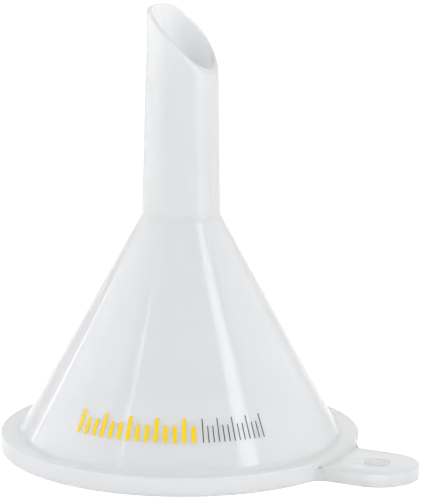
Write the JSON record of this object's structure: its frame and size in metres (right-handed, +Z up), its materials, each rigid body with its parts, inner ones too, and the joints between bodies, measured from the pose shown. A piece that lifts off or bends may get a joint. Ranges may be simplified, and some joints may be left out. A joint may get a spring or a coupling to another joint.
{
  "type": "small bottle funnel",
  "caption": "Small translucent plastic funnel with a flat rim, a round-ended hanging tab, a conical bowl and a slender spout cut at a slant.",
  "frame": {"origin": "on the funnel's axis, in the plane of the rim's underside, at the centre of the mouth", "axes": "+Z up the axis from the mouth to the spout's tip; +X towards the hanging tab, which is also the low side of the spout's slanted cut"},
  "size_m": [0.0429, 0.035, 0.0436],
  "materials": {
    "moulding": "translucent natural polypropylene, satin",
    "yellow_ink": "printed ink, satin",
    "grey_ink": "printed ink, satin"
  },
  "bodies": {
    "root": {"rim_flange": "moulding", "hang_tab": "moulding", "bowl_cone": "moulding", "spout_tube": "moulding", "spout_tip": "moulding", "bold_print": "yellow_ink", "fine_print": "grey_ink"}
  },
  "joints": []
}
